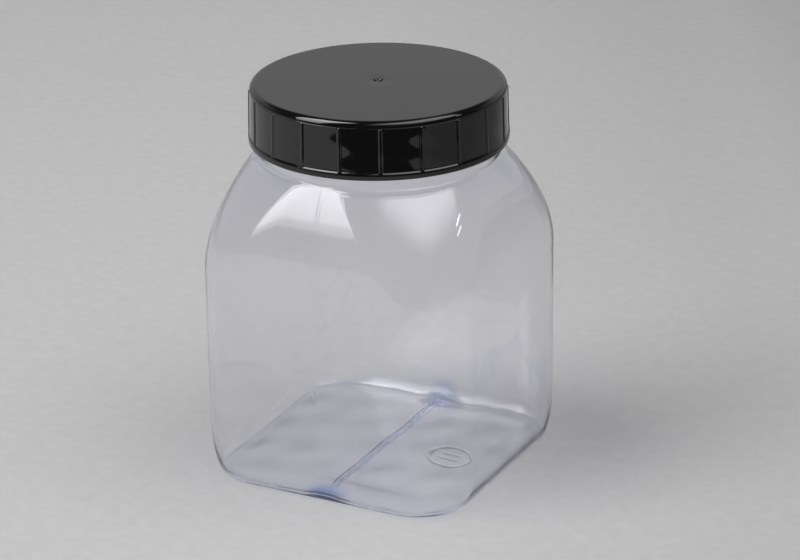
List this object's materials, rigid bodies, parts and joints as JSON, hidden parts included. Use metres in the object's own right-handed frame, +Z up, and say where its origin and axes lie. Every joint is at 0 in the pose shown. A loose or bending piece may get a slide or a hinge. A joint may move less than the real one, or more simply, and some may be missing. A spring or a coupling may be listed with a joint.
{
  "type": "specimen jar",
  "caption": "Square clear wide-mouth specimen jar with rounded corners, a round threaded neck and a ribbed black screw cap with a seal disc.",
  "frame": {"origin": "middle of the face that the jar stands on", "axes": "+Z up along the neck's axis; X and Y square to the flat sides, with the mould seams on the -Y and +Y sides"},
  "size_m": [0.0822, 0.0822, 0.1116],
  "materials": {
    "clear_body": "clear, faintly violet-blue, glossy",
    "black_cap": "gloss black",
    "seal_foam": "matt white foam"
  },
  "bodies": {
    "jar": {"jar_body": "clear_body"},
    "seal": {"cap_liner": "seal_foam"},
    "cap": {"screw_cap": "black_cap"}
  },
  "joints": [
    {"name": "cap_rise", "type": "slide", "parent": "jar", "child": "seal", "axis": [0, 0, 1], "range_m": [0, 0.0302]},
    {"name": "cap_turn", "type": "hinge", "parent": "seal", "child": "cap", "pos_m": [0, 0, 0.11], "axis": [0, 0, 1], "range_deg": [0, 2160]}
  ],
  "couplings": [
    {"joint": "cap_rise", "follows": "cap_turn", "m_per_rad": 0.00079577}
  ]
}
